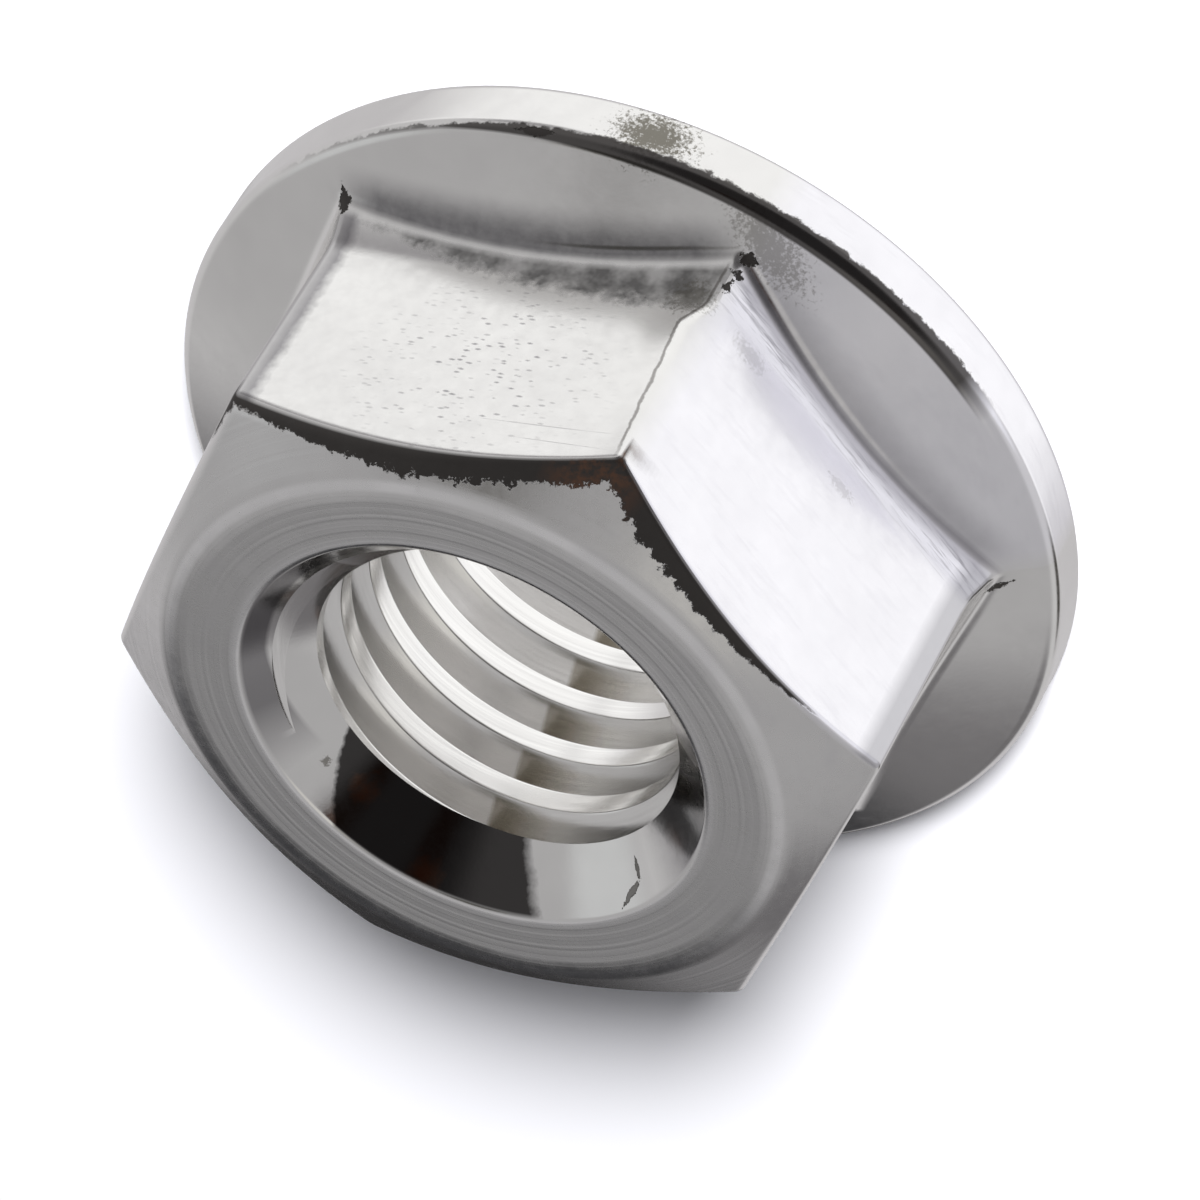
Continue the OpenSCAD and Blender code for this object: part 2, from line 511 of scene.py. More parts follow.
# The flange's cone is told from the hexagon's wall by how far a point lies above the cone. Upper
# is the part above the flats, with the chamfer, the top face and the countersink.
cone = add(tree, "MapRange", {
    "Value": radius, 1: 0, 2: FLANGE_R, 3: RIM_HEIGHT + FLANGE_R * CONE, 4: RIM_HEIGHT,
})
above_cone = add(tree, "Math", {0: z, 1: cone}, operation="SUBTRACT")
on_cone = add(tree, "MapRange", {"Value": above_cone, 1: 0.14, 2: 0.03})
on_wall = add(tree, "MapRange", {"Value": above_cone, 1: 0.1, 2: 0.26})
upper = add(tree, "MapRange", {"Value": z, 1: 6.3, 2: 6.6})

# Which of the six sides a point is on, 1 in its middle and 0 past its corners.
from_marked = add(tree, "Math", {0: angle, 1: MARKED_SIDE}, operation="SUBTRACT")
from_marked = add(tree, "Math", {0: from_marked}, operation="ABSOLUTE")
on_marked = add(tree, "MapRange", {"Value": from_marked, 1: MARKED_EDGE[0], 2: MARKED_EDGE[1]})
from_smeared = add(tree, "Math", {0: angle, 1: SMEARED_SIDE}, operation="SUBTRACT")
from_smeared = add(tree, "Math", {0: from_smeared}, operation="ABSOLUTE")
on_smeared = add(tree, "MapRange", {"Value": from_smeared, 1: SMEARED_EDGE[0], 2: SMEARED_EDGE[1]})

# The black torn border where the chamfer breaks from the flats, with a painted dark reflection of the
# rounded edge: crisp at the flat, ragged inside.
# It widens over the marked side, narrows past the bent corner and rusts beside that corner.
BORDER_FROM = math.radians(-52)
BORDER_WIDE = math.radians(-88)
BORDER_NARROWS = math.radians(-130)
BORDER_TO = math.radians(-170)
BORDER_WIDTHS = (0.27, 0.5)
RUST_AT = math.radians(-118)
start = add(tree, "MapRange", {"Value": angle, 1: BORDER_FROM, 2: BORDER_WIDE, 3: 0.1})
stop = add(tree, "MapRange", {"Value": angle, 1: BORDER_TO, 2: BORDER_NARROWS})
ends = add(tree, "MapRange", {"Value": angle, 1: BORDER_FROM + 0.05, 2: BORDER_FROM - 0.05})
border = start
for limit in (stop, ends):
    border = add(tree, "Math", {0: border, 1: limit}, operation="MULTIPLY")
width = add(tree, "MapRange", {
    "Value": torn, 1: 0.32, 2: 0.68, 3: BORDER_WIDTHS[0], 4: BORDER_WIDTHS[1],
})
width = add(tree, "Math", {0: width, 1: border}, operation="MULTIPLY")
hairs = add(tree, "Math", {0: fine, 1: 0.22, 2: -0.11}, operation="MULTIPLY_ADD")
width = add(tree, "Math", {0: hairs, 1: border, 2: width}, operation="MULTIPLY_ADD")
inside = add(tree, "Math", {0: width, 1: inward}, operation="SUBTRACT")
inside = add(tree, "MapRange", {"Value": inside, 1: 0.0, 2: 0.03})
beyond = add(tree, "MapRange", {"Value": inward, 1: 0.004, 2: 0.03})
border_mask = inside
for limit in (upper, beyond):
    border_mask = add(tree, "Math", {0: border_mask, 1: limit}, operation="MULTIPLY")
from_rust = add(tree, "Math", {0: angle, 1: RUST_AT}, operation="SUBTRACT")
from_rust = add(tree, "Math", {0: from_rust}, operation="ABSOLUTE")
rust = add(tree, "MapRange", {"Value": from_rust, 1: math.radians(8), 2: math.radians(3)})
tinted = add(tree, "MapRange", {"Value": torn, 1: 0.42, 2: 0.6})
rust = add(tree, "Math", {0: rust, 1: tinted}, operation="MULTIPLY")

# The mottled band in the root fillet of the marked side, painted shade in the hollow with mottled
# residue, whose upper edge arches.
ARCH_ASIDE = 1.5
ARCH_TOP = 3.1
ARCH_CURVE = 0.045
arch = add(tree, "Math", {0: along, 1: ARCH_ASIDE}, operation="ADD")
arch = add(tree, "Math", {0: arch, 1: arch}, operation="MULTIPLY")
arch = add(tree, "Math", {0: arch, 1: -ARCH_CURVE, 2: ARCH_TOP}, operation="MULTIPLY_ADD")
ragged = add(tree, "Math", {0: torn, 1: 0.9, 2: -0.45}, operation="MULTIPLY_ADD")
arch = add(tree, "Math", {0: arch, 1: ragged}, operation="ADD")
below = add(tree, "Math", {0: arch, 1: z}, operation="SUBTRACT")
band = add(tree, "MapRange", {"Value": below, 1: -0.05, 2: 0.3})
mottle = add(tree, "TexNoise", {"Vector": on_side, "Scale": 1.7, "Detail": 3, "Roughness": 0.6})
mottle = add(tree, "MapRange", {"Value": mottle, 1: 0.35, 2: 0.62, 3: 0.45, 4: 1})
for limit in (on_wall, on_marked, mottle):
    band = add(tree, "Math", {0: band, 1: limit}, operation="MULTIPLY")

# Painted shade, broken up by drawn residue, on the flange at the foot of both sides where the cone
# meets the wall; streaks drawn along the root by the die low on the smeared side, where a grey seam
# runs just above the cone.
foot = add(tree, "MapRange", {"Value": out, 1: 7.5, 2: 6.8}, interpolation_type="SMOOTHSTEP")
aside = add(tree, "Math", {0: along}, operation="ABSOLUTE")
short = add(tree, "MapRange", {"Value": aside, 1: 4.05, 2: 3.1})
footed = add(tree, "Math", {0: on_smeared, 1: 0.45, 2: on_marked}, operation="MULTIPLY_ADD")
broken = add(tree, "MapRange", {"Value": torn, 1: 0.3, 2: 0.7, 3: 0.82, 4: 1})
for limit in (short, on_cone, footed, broken):
    foot = add(tree, "Math", {0: foot, 1: limit}, operation="MULTIPLY")
stretched = add(tree, "Mapping", {"Vector": on_side, "Scale": (0.35, 5, 1)})
drawn = add(tree, "TexNoise", {"Vector": stretched, "Scale": 2, "Detail": 3, "Roughness": 0.7})
drawn = add(tree, "MapRange", {"Value": drawn, 1: 0.5, 2: 0.66})
low = add(tree, "MapRange", {"Value": z, 1: 2.75, 2: 2.45})
for limit in (low, on_smeared, on_wall):
    drawn = add(tree, "Math", {0: drawn, 1: limit}, operation="MULTIPLY")
seam = add(tree, "MapRange", {"Value": above_cone, 1: 0.36, 2: 0.18})
seam_low = add(tree, "MapRange", {"Value": above_cone, 1: 0.01, 2: 0.05})
for limit in (seam_low, on_smeared):
    seam = add(tree, "Math", {0: seam, 1: limit}, operation="MULTIPLY")

# The corners at either end of the two sides: painted grey shade beside the first one's ridge, and a
# soft painted grey shade by the last one.
on_flat = add(tree, "MapRange", {"Value": inward, 1: 0.09, 2: 0.05})
on_flat = add(tree, "Math", {0: on_flat, 1: on_wall}, operation="MULTIPLY")
first_corner_shade = add(tree, "Math", {0: torn, 1: 0.03, 2: angle}, operation="MULTIPLY_ADD")
first_corner_shade = add(tree, "MapRange", {"Value": first_corner_shade, 1: math.radians(-62.6), 2: math.radians(-61)})
for limit in (on_marked, on_flat):
    first_corner_shade = add(tree, "Math", {0: first_corner_shade, 1: limit}, operation="MULTIPLY")
greyed = add(tree, "MapRange", {"Value": angle, 1: math.radians(-175.4), 2: math.radians(-177.6)})
greyed = add(tree, "Math", {0: greyed, 1: on_flat}, operation="MULTIPLY")

# The thin dark line beside the bent corner's ridge, which it follows up the bend.
LINE_STRAIGHT = math.radians(-119.1)
LINE_BENT = math.radians(-117.2)
rise = add(tree, "MapRange", {"Value": z, 1: BEND_TOP, 2: BEND_PEAK})
fall = add(tree, "MapRange", {"Value": z, 1: BEND_FOOT, 2: BEND_PEAK}, interpolation_type="SMOOTHSTEP")
pushed = add(tree, "Math", {0: rise, 1: fall}, operation="MINIMUM")
ridge_at = add(tree, "MapRange", {"Value": pushed, 3: LINE_STRAIGHT, 4: LINE_BENT})
beside = add(tree, "Math", {0: angle, 1: ridge_at}, operation="SUBTRACT")
wobble = add(tree, "Math", {0: torn, 1: 0.016, 2: -0.008}, operation="MULTIPLY_ADD")
beside = add(tree, "Math", {0: beside, 1: wobble}, operation="ADD")
beside = add(tree, "Math", {0: beside}, operation="ABSOLUTE")
ridge = add(tree, "MapRange", {"Value": beside, 1: 0.005, 2: 0.002})
low_ridge = add(tree, "MapRange", {"Value": z, 1: 6.9, 2: 6.4, 3: 0, 4: 0.85})
for limit in (on_wall, low_ridge):
    ridge = add(tree, "Math", {0: ridge, 1: limit}, operation="MULTIPLY")

# The ragged black line along the flange's upper edge, a painted dark reflection on its rounding,
# thicker towards the smeared side.
RIM_LINE_FROM = (math.radians(-50), math.radians(-80))
RIM_LINE_TO = (math.radians(-157), math.radians(-151))
thick = add(tree, "MapRange", {"Value": angle, 1: math.radians(-78), 2: math.radians(-104)})
wide = add(tree, "Math", {0: thick, 1: 0.14, 2: radius}, operation="MULTIPLY_ADD")
at_edge = add(tree, "MapRange", {"Value": wide, 1: 8.56, 2: 8.6})
ragged_low = add(tree, "Math", {0: torn, 1: 0.35, 2: z}, operation="MULTIPLY_ADD")
ragged_low = add(tree, "Math", {0: thick, 1: 0.15, 2: ragged_low}, operation="MULTIPLY_ADD")
high_edge = add(tree, "MapRange", {"Value": ragged_low, 1: 1.39, 2: 1.44})
edge_start = add(tree, "MapRange", {"Value": angle, 1: RIM_LINE_FROM[0], 2: RIM_LINE_FROM[1]})
edge_stop = add(tree, "MapRange", {"Value": angle, 1: RIM_LINE_TO[0], 2: RIM_LINE_TO[1]})
for limit in (high_edge, edge_start, edge_stop):
    at_edge = add(tree, "Math", {0: at_edge, 1: limit}, operation="MULTIPLY")

# In the countersink: a painted dark reflection of the bore at its left and right, burnt dark residue
# between, bare on the land where the thread begins. The burnt part's ends run slantwise down the cone.
in_sink = add(tree, "MapRange", {"Value": radius, 1: MOUTH_R + 0.02, 2: MOUTH_R - 0.06})
in_sink = add(tree, "Math", {0: in_sink, 1: upper}, operation="MULTIPLY")
land = add(tree, "MapRange", {
    "Value": angle, 1: math.radians(-14), 2: math.radians(28), 3: 4.12, 4: 3.8,
})
off_land = add(tree, "Math", {0: radius, 1: land}, operation="SUBTRACT")
off_land = add(tree, "MapRange", {"Value": off_land, 1: -0.03, 2: 0.04})
left = add(tree, "MapRange", {"Value": angle, 1: math.radians(24), 2: math.radians(4)})
left_stop = add(tree, "MapRange", {"Value": angle, 1: math.radians(-75), 2: math.radians(-50)})
for limit in (off_land, left_stop):
    left = add(tree, "Math", {0: left, 1: limit}, operation="MULTIPLY")
right = add(tree, "MapRange", {"Value": angle, 1: math.radians(133), 2: math.radians(150)})
sink_reflection = add(tree, "Math", {0: left, 1: right}, operation="ADD")
sink_reflection = add(tree, "Math", {0: sink_reflection, 1: in_sink}, operation="MULTIPLY")
wavering = add(tree, "Math", {0: torn, 1: 0.06, 2: angle}, operation="MULTIPLY_ADD")
slanted = add(tree, "Math", {0: radius, 1: -0.305, 2: wavering}, operation="MULTIPLY_ADD")
burnt = add(tree, "MapRange", {"Value": slanted, 1: -0.63, 2: -0.6})
slanted = add(tree, "Math", {0: radius, 1: -0.093, 2: wavering}, operation="MULTIPLY_ADD")
burnt_end = add(tree, "MapRange", {"Value": slanted, 1: 1.31, 2: 1.25})
for limit in (burnt_end, in_sink):
    burnt = add(tree, "Math", {0: burnt, 1: limit}, operation="MULTIPLY")

# Small pits scattered over the marked side, each a dash about 0.2 mm long.
PITS_AT = (-0.4, -6.5, 5.2)
PITS_REACH = 2.8
dashes = add(tree, "Mapping", {"Vector": on_side, "Rotation": (0, 0, -0.45), "Scale": (1.5, 3.6, 1)})
cells = add(tree, "TexVoronoi", {"Vector": dashes, "Scale": 2.6, "Randomness": 1})
pit = add(tree, "Math", {0: fine, 1: 0.3, 2: cells.outputs["Distance"]}, operation="MULTIPLY_ADD")
pit = add(tree, "MapRange", {"Value": pit, 1: 0.46, 2: 0.27})
chosen = add(tree, "SeparateColor", {0: cells.outputs["Color"]})
chosen = add(tree, "MapRange", {"Value": chosen.outputs[0], 1: 0.0, 2: 0.55})
cluster = add(tree, "VectorMath", {0: place, 1: PITS_AT}, operation="DISTANCE")
cluster = add(tree, "MapRange", {"Value": cluster, 1: PITS_REACH, 2: 1.0})
for limit in (chosen, cluster, on_marked):
    pit = add(tree, "Math", {0: pit, 1: limit}, operation="MULTIPLY")
scratched = pit
for across, height, slope, length, breadth in SCRATCHES:
    scratch = add(tree, "Mapping", {
        "Vector": on_side, "Location": (across, height, MARKED_SIDE),
        "Rotation": (0, 0, math.radians(slope)), "Scale": (length, breadth, 1),
    }, vector_type="TEXTURE")
    scratch = add(tree, "VectorMath", {0: scratch}, operation="LENGTH")
    scratch = add(tree, "Math", {0: torn, 1: 1.5, 2: scratch}, operation="MULTIPLY_ADD")
    scratch = add(tree, "MapRange", {"Value": scratch, 1: 1.9, 2: 1.2, 3: 0, 4: 0.6})
    scratched = add(tree, "Math", {0: scratched, 1: scratch}, operation="MAXIMUM")

# Purple-grey smears drawn slantwise over the side beyond the bent corner.
slant = add(tree, "Mapping", {"Vector": on_side, "Rotation": (0, 0, 0.6), "Scale": (0.5, 3, 1)})
smear = add(tree, "TexNoise", {"Vector": slant, "Scale": 1.3, "Detail": 3, "Roughness": 0.65})
smear = add(tree, "MapRange", {"Value": smear, 1: 0.52, 2: 0.75})
smear = add(tree, "Math", {0: smear, 1: on_smeared}, operation="MULTIPLY")

# The torn spots are pointed and the stains round, and the grain breaks both up.
spotted = 0
for across, forward, height, heading, length, breadth, tall, depth in TORN_SPOTS:
    spot = add(tree, "Mapping", {
        "Vector": place, "Location": (across, forward, height),
        "Rotation": (0, 0, math.radians(heading)), "Scale": (length, breadth, tall),
    }, vector_type="TEXTURE")
    spot = add(tree, "VectorMath", {0: spot}, operation="ABSOLUTE")
    spot = add(tree, "VectorMath", {0: spot, 1: (1, 1, 1)}, operation="DOT_PRODUCT")
    spot = add(tree, "Math", {0: torn, 1: 1.2, 2: spot}, operation="MULTIPLY_ADD")
    spot = add(tree, "Math", {0: fine, 1: 1.6, 2: spot}, operation="MULTIPLY_ADD")
    spot = add(tree, "MapRange", {"Value": spot, 1: 2.5, 2: 2.25, 3: 0, 4: depth})
    spotted = add(tree, "Math", {0: spotted, 1: spot}, operation="MAXIMUM")
stained = spotted
for across, forward, height, heading, length, breadth, depth in STAINS:
    stain = add(tree, "Mapping", {
        "Vector": place, "Location": (across, forward, height),
        "Rotation": (0, 0, math.radians(heading)), "Scale": (length, breadth, breadth),
    }, vector_type="TEXTURE")
    stain = add(tree, "VectorMath", {0: stain}, operation="LENGTH")
    stain = add(tree, "Math", {0: fine, 1: 2.4, 2: stain}, operation="MULTIPLY_ADD")
    stain = add(tree, "MapRange", {"Value": stain, 1: 2.2, 2: 1.7, 3: 0, 4: depth})
    stained = add(tree, "Math", {0: stained, 1: stain}, operation="MAXIMUM")
for across, forward, height, reach in TINTS:
    tint = add(tree, "VectorMath", {0: place, 1: (across, forward, height)}, operation="DISTANCE")
    tint = add(tree, "Math", {0: torn, 1: 0.9, 2: tint}, operation="MULTIPLY_ADD")
    tint = add(tree, "MapRange", {"Value": tint, 1: reach + 0.4, 2: 0.45})
    tint = add(tree, "Math", {0: tint, 1: burnt}, operation="MULTIPLY")
    rust = add(tree, "Math", {0: rust, 1: tint}, operation="MAXIMUM")

# The turned top face: satin, with feed rings drawn about 0.15 mm apart so that they show, and a
# painted highlight where it breaks to the chamfer and to the mouth of the bore.
FEEDS_PER_MM = 7
BREAK_R = 5.86
turned = add(tree, "MapRange", {"Value": inward, 1: 0.02, 2: 0.12})
outside = add(tree, "MapRange", {"Value": radius, 1: MOUTH_R - 0.02, 2: MOUTH_R + 0.04})
for limit in (outside, upper):
    turned = add(tree, "Math", {0: turned, 1: limit}, operation="MULTIPLY")
feed = add(tree, "TexNoise", {"W": radius, "Scale": FEEDS_PER_MM, "Detail": 2}, noise_dimensions="1D")
ring = add(tree, "Math", {0: radius, 1: BREAK_R}, operation="SUBTRACT")
ring = add(tree, "Math", {0: ring}, operation="ABSOLUTE")
ring = add(tree, "MapRange", {"Value": ring, 1: 0.16, 2: 0.04}, interpolation_type="SMOOTHSTEP")
ring = add(tree, "Math", {0: ring, 1: turned}, operation="MULTIPLY")
lip = add(tree, "MapRange", {"Value": radius, 1: MOUTH_R + 0.22, 2: MOUTH_R + 0.1})
lip = add(tree, "Math", {0: lip, 1: turned}, operation="MULTIPLY")
ring = add(tree, "Math", {0: ring, 1: lip}, operation="MAXIMUM")
faint = add(tree, "MapRange", {"Value": blotch, 1: 0.3, 2: 0.7, 3: 0.5, 4: 1})
ring = add(tree, "Math", {0: ring, 1: faint}, operation="MULTIPLY")

# The layers of colour, from clean steel to the blackest residue and painted dark reflection, each with
# its strength.
# The smeared side's flat is given a lighter tone, a painted highlight for its brighter reflection.
clean = {0: on_smeared, 6: linear(BRIGHT_STEEL), 7: linear(LIT_SIDE_STEEL)}
colour = add(tree, "Mix", clean, data_type="RGBA")
cloud = add(tree, "MapRange", {"Value": blotch, 1: 0.3, 2: 0.7, 3: 0.0, 4: 0.14})
layers = (
    (turned, SATIN_STEEL, 1),
    (cloud, DULL_STEEL, 0.5),
    (ring, RING_HIGHLIGHT, 1),
    (smear, SMEARED_STEEL, 0.1),
    (greyed, GREYED_STEEL, 1),
    (first_corner_shade, CORNER_SHADE_GREY, 0.85),
    (scratched, DULL_STEEL, 0.7),
    (foot, FOOT_SHADE_AND_RESIDUE, 0.8),
    (seam, SEAM_STEEL, 0.6),
    (drawn, DRAWN_STEEL, 0.6),
    (sink_reflection, SINK_DARK_REFLECTION, 0.75),
    (burnt, BURNT_FILM, 1),
    (band, BAND_SHADE_AND_RESIDUE, 0.8),
    (ridge, RIDGE_LINE_TONE, 0.8),
    (stained, SPECKLED_STEEL, 1),
    (border_mask, RESIDUE_AND_DARK_REFLECTION, 1),
    (at_edge, RESIDUE_AND_DARK_REFLECTION, 0.95),
    (spotted, RESIDUE_AND_DARK_REFLECTION, 1),
)
for mask, tone, strength in layers:
    share = add(tree, "Math", {0: mask, 1: strength}, operation="MULTIPLY")
    colour = add(tree, "Mix", {0: share, 6: colour, 7: linear(tone)}, data_type="RGBA")
residue_and_reflection = add(tree, "Math", {0: border_mask, 1: burnt}, operation="MAXIMUM")
rusty = add(tree, "Math", {0: rust, 1: residue_and_reflection}, operation="MULTIPLY")
colour = add(tree, "Mix", {0: rusty, 6: colour, 7: linear(RUSTY_RESIDUE)}, data_type="RGBA")
tree.links.new(colour.outputs[2], shader.inputs["Base Color"])

# Polished where the dies pressed it, satin where it was turned, rough where it tore.
POLISHED = 0.17
SATIN = 0.25
TORN_ROUGHER = 0.35
rough = add(tree, "MapRange", {"Value": turned, 3: POLISHED, 4: SATIN})
rough = add(tree, "Math", {0: in_sink, 1: -0.05, 2: rough}, operation="MULTIPLY_ADD")
grain = add(tree, "MapRange", {"Value": torn, 1: 0.3, 2: 0.7, 3: -0.03, 4: 0.05})
rough = add(tree, "Math", {0: rough, 1: grain}, operation="ADD")
dirt_and_shade = add(tree, "Math", {0: border_mask, 1: band}, operation="MAXIMUM")
dirt_and_shade = add(tree, "Math", {0: dirt_and_shade, 1: spotted}, operation="MAXIMUM")
rough = add(tree, "Math", {0: dirt_and_shade, 1: TORN_ROUGHER, 2: rough}, operation="MULTIPLY_ADD")
tree.links.new(rough.outputs[0], shader.inputs["Roughness"])

# Relief in millimetres, outwards: fine feed rings and grain, the torn border and the torn spots.
FEED_RELIEF = 0.003
GRAIN_RELIEF = 0.0006
BORDER_RELIEF = -0.02
SPOT_RELIEF = -0.06
rings = add(tree, "Math", {0: feed, 1: turned}, operation="MULTIPLY")
relief = add(tree, "Math", {0: rings, 1: FEED_RELIEF}, operation="MULTIPLY")
for mask, depth in ((fine, GRAIN_RELIEF), (spotted, SPOT_RELIEF), (border_mask, BORDER_RELIEF)):
    relief = add(tree, "Math", {0: mask, 1: depth, 2: relief}, operation="MULTIPLY_ADD")
bump = add(tree, "Bump", {"Height": relief, "Distance": MM, "Strength": 1})
tree.links.new(bump.outputs[0], shader.inputs["Normal"])

# Thread finish
# The tap cut the thread into the same steel after forming, and left it bright and finely drawn.
# One stretch of the flanks carries a painted grey reflection, sharp where it starts and fading out
# along the turn.
TAPPED_STEEL = "#FBFAF8"
DRAWN_THREAD = "#CFCDCB"
FLANK_REFLECTION_GREY = "#BFBAB0"
DRAG_PITCH = 0.06
GREY_FROM = math.radians(73.5)
MOUTH_SLOPES = (0.55, 0.8)
MOUTH_HEIGHTS = (1.3, 6.5)

tapped, tree, shader = bare_metal("tapped_steel")
place, z, radius, angle = places(tree)
rolled = add(tree, "CombineXYZ", {0: angle, 1: radius, 2: z})
drag = add(tree, "Mapping", {"Vector": rolled, "Scale": (1, 1 / DRAG_PITCH, 1 / DRAG_PITCH)})
lines = add(tree, "TexNoise", {"Vector": drag, "Scale": 1, "Detail": 3, "Roughness": 0.6})
tone = add(tree, "MapRange", {"Value": lines, 1: 0.3, 2: 0.7, 3: 0.0, 4: 0.2})
tone = add(tree, "Mix", {0: tone, 6: linear(TAPPED_STEEL), 7: linear(DRAWN_THREAD)}, data_type="RGBA")
flank = add(tree, "MapRange", {"Value": radius, 1: MINOR_R + 0.03, 2: MINOR_R + 0.08})
grey = add(tree, "MapRange", {"Value": angle, 1: GREY_FROM, 2: GREY_FROM + 0.025})
fading = add(tree, "MapRange", {"Value": angle, 1: GREY_FROM + 0.35, 2: GREY_FROM + 0.08})
for limit in (fading, flank):
    grey = add(tree, "Math", {0: grey, 1: limit}, operation="MULTIPLY")
tone = add(tree, "Mix", {0: grey, 6: tone, 7: linear(FLANK_REFLECTION_GREY)}, data_type="RGBA")
tree.links.new(tone.outputs[2], shader.inputs["Base Color"])
rough = add(tree, "MapRange", {"Value": lines, 1: 0.3, 2: 0.7, 3: 0.15, 4: 0.26})
tree.links.new(rough.outputs[0], shader.inputs["Roughness"])

# The countersinks slope near either end of the bore, and keep the finish of the body.
nut.data.materials.clear()
nut.data.materials.append(steel)
nut.data.materials.append(tapped)
for face in nut.data.polygons:
    from_axis = math.hypot(face.center.x, face.center.y) / MM
    at_end = not MOUTH_HEIGHTS[0] * MM <= face.center.z <= MOUTH_HEIGHTS[1] * MM
    in_mouth = at_end and MOUTH_SLOPES[0] < abs(face.normal.z) < MOUTH_SLOPES[1]
    face.material_index = int(not in_mouth and from_axis < MAJOR_R + 0.02)

# Floor
# A plain white table, on which the camera sees the nut's soft shadow, lightened by a faint glow.
# From SHADOW_TO to PLAIN_FROM metres out, what the camera sees passes over to plain white.
TABLE_HALF = 2
TABLE = "#F1F1F6"
GLOW = "#F4F4FF"
GLOW_STRENGTH = 0.04
WHITE = "#FFFFFF"
SHADOW_TO = 0.03
PLAIN_FROM = 0.09
bm = bmesh.new()
bmesh.ops.create_grid(bm, x_segments=1, y_segments=1, size=TABLE_HALF)
floor = new_object("floor", bm)
paper = bpy.data.materials.new("white_paper")
paper.use_nodes = True
tree = paper.node_tree
tree.nodes.clear()
lit = add(tree, "BsdfDiffuse", {"Color": linear(TABLE)})
glow = add(tree, "Emission", {"Color": linear(GLOW), "Strength": GLOW_STRENGTH})
near_nut = add(tree, "AddShader", {0: lit, 1: glow})
coords = add(tree, "TexCoord")
away = add(tree, "VectorMath", {0: coords.outputs["Object"]}, operation="LENGTH")
away = add(tree, "MapRange", {
    "Value": away, 1: SHADOW_TO, 2: PLAIN_FROM,
}, interpolation_type="SMOOTHSTEP")
plain = add(tree, "Emission", {"Color": linear(WHITE)})
shown = add(tree, "MixShader", {0: away, 1: near_nut, 2: plain})
path = add(tree, "LightPath")
surface = add(tree, "MixShader", {0: path.outputs["Is Camera Ray"], 1: lit, 2: shown})
add(tree, "OutputMaterial", {"Surface": surface})
floor.data.materials.append(paper)
floor.visible_glossy = False

# Studio
# What the steel mirrors: white paper below, a grey ceiling, the dark room behind the camera.
# One soft lamp from the camera's side throws the shadow, and isn't mirrored itself.
CEILING = "#AEADAE"
HORIZON = "#C6C5C6"
BRIGHTNESS = 1.05
AMBIENT = 0.13

# Heights on a unit sphere between which the horizon turns to ceiling and to paper.
TO_CEILING = (0.1, 0.45)
TO_PAPER = (-0.5, -0.58)

# Each patch is (azimuth, elevation, inner and outer angle in degrees, colour).
PATCHES = (
    (52, -45, 44, 70, "#C6C4C6"),
    (62, 13, 16, 30, "#363638"),
    (64, -20, 9, 18, "#302F30"),
    (128, -22, 6, 15, "#3F3C38"),
    (175, 66, 4, 18, "#CFCDC9"),
    (-48, 71, 5, 11, "#605E59"),
    (-62, -27, 5, 13, "#9A989A"),
    (-172, -14, 14, 26, "#EBEBEF"),
    (-126, 30, 30, 43, "#5A5859"),
    (-16, 28, 8, 20, "#C6C7C8"),
    (98, 14, 8, 22, "#706E70"),
    (-160, 50, 1, 7, "#43332C"),
    (-107, 52, 1, 7, "#3E2D27"),
)

# The lamp: azimuth and elevation in degrees, distance and disk diameter in metres, power in watts.
KEY_FROM = (-116, 32)
KEY_DISTANCE = 0.6
KEY_SIZE = 0.14
KEY_POWER = 7.7


def direction(azimuth, elevation):
    """Unit vector towards an azimuth and an elevation in degrees."""
    a, e = math.radians(azimuth), math.radians(elevation)
    return Vector((math.cos(a) * math.cos(e), math.sin(a) * math.cos(e), math.sin(e)))


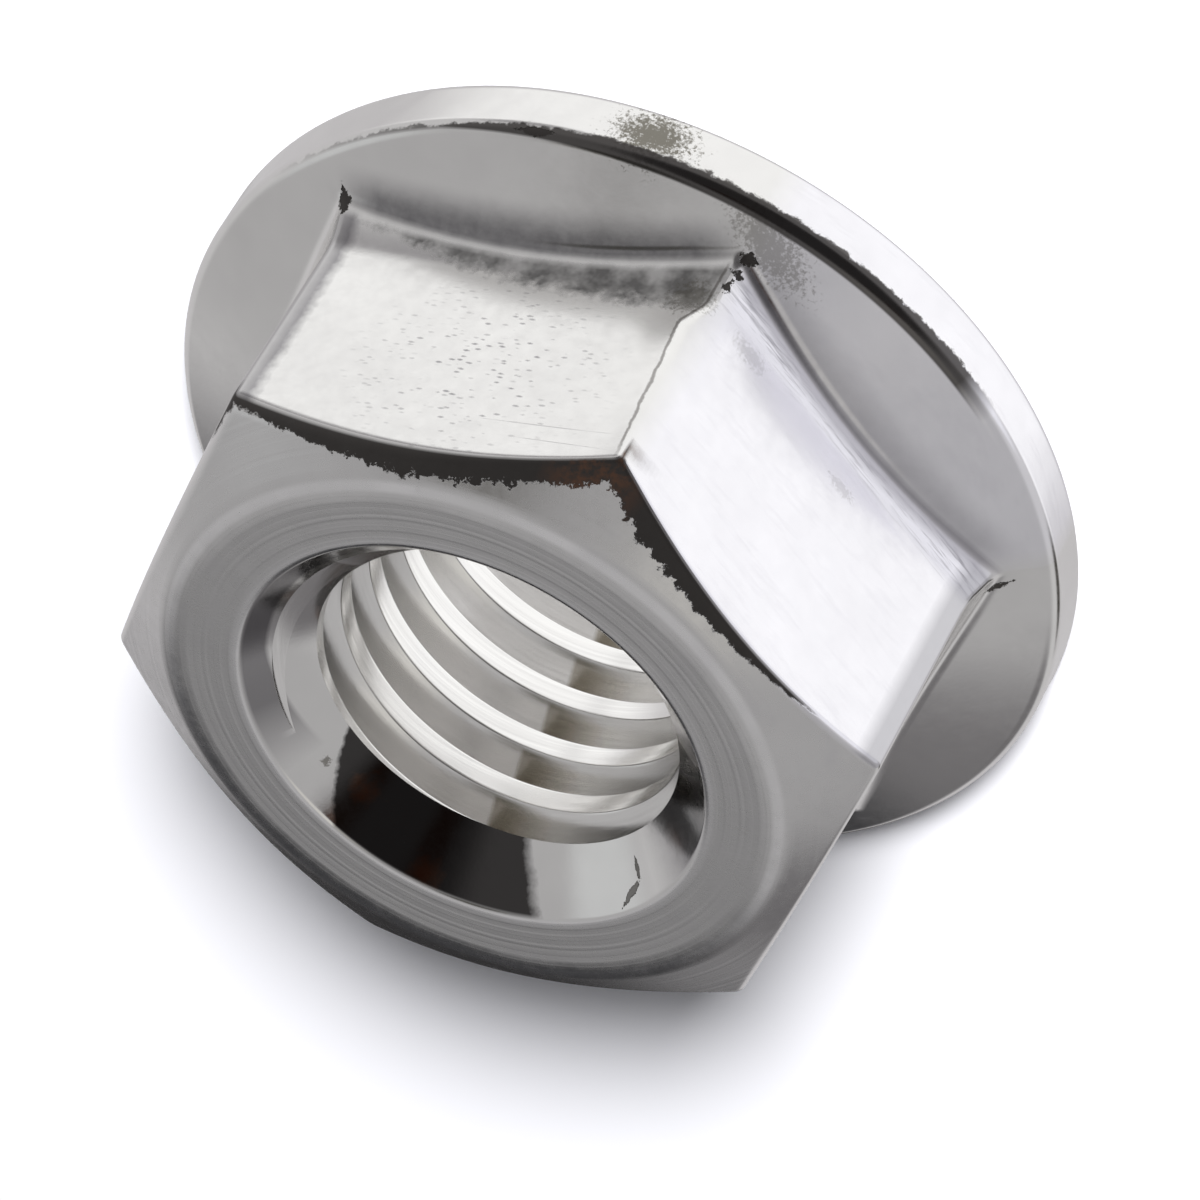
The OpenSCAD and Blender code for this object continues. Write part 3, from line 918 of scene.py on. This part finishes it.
world = bpy.data.worlds.new("studio")
bpy.context.scene.world = world
world.use_nodes = True
tree = world.node_tree
tree.nodes.clear()
coords = add(tree, "TexCoord")
axes = add(tree, "SeparateXYZ", {0: coords.outputs["Generated"]})
raised = add(tree, "MapRange", {
    "Value": axes.outputs["Z"], 1: TO_CEILING[0], 2: TO_CEILING[1],
}, interpolation_type="SMOOTHSTEP")
lowered = add(tree, "MapRange", {
    "Value": axes.outputs["Z"], 1: TO_PAPER[0], 2: TO_PAPER[1],
}, interpolation_type="SMOOTHSTEP")
light = add(tree, "Mix", {0: raised, 6: linear(HORIZON), 7: linear(CEILING)}, data_type="RGBA")
light = add(tree, "Mix", {0: lowered, 6: light, 7: linear(WHITE)}, data_type="RGBA")
for azimuth, elevation, inner, outer, tone in PATCHES:
    facing = add(tree, "VectorMath", {
        0: coords.outputs["Generated"], 1: direction(azimuth, elevation),
    }, operation="DOT_PRODUCT")
    inside = add(tree, "MapRange", {
        "Value": facing, 1: math.cos(math.radians(outer)), 2: math.cos(math.radians(inner)),
    }, interpolation_type="SMOOTHSTEP")
    light = add(tree, "Mix", {0: inside, 6: light, 7: linear(tone)}, data_type="RGBA")
mirrored = add(tree, "Background", {"Color": light, "Strength": BRIGHTNESS})
white = add(tree, "Background", {"Color": linear(WHITE)})
ambient = add(tree, "Background", {"Color": linear(WHITE), "Strength": AMBIENT})
path = add(tree, "LightPath")
both = add(tree, "MixShader", {0: path.outputs["Is Glossy Ray"], 1: ambient, 2: mirrored})
both = add(tree, "MixShader", {0: path.outputs["Is Camera Ray"], 1: both, 2: white})
add(tree, "OutputWorld", {"Surface": both})

lamp = bpy.data.lights.new("key", "AREA")
lamp.shape = "DISK"
lamp.size = KEY_SIZE
lamp.energy = KEY_POWER
key = bpy.data.objects.new("key", lamp)
key.location = direction(*KEY_FROM) * KEY_DISTANCE
key.rotation_euler = (-key.location).to_track_quat("-Z", "Y").to_euler()
key.visible_glossy = False
bpy.context.collection.objects.link(key)

# Camera
# A long lens from above, rolled so that the hexagon points down and to the left of the picture.
# Lens and sensor are in millimetres, angles in degrees, target and distance in millimetres.
LENS = 221.2
SENSOR = 36
AZIMUTH = -120.937
ELEVATION = 39.718
ROLL = -149.805
DISTANCE = 135
TARGET = Vector((0.128, 1.698, 2.302))
lens = bpy.data.cameras.new("camera")
lens.lens = LENS
lens.sensor_width = SENSOR
lens.clip_start = 0.01
camera = bpy.data.objects.new("camera", lens)
toward = direction(AZIMUTH, ELEVATION)
aim = (-toward).to_track_quat("-Z", "Y").to_matrix().to_4x4()
roll = Matrix.Rotation(math.radians(ROLL), 4, "Z")
camera.matrix_world = Matrix.Translation((TARGET + toward * DISTANCE) * MM) @ aim @ roll
bpy.context.collection.objects.link(camera)
scene = bpy.context.scene
scene.camera = camera
scene.view_settings.view_transform = "Standard"
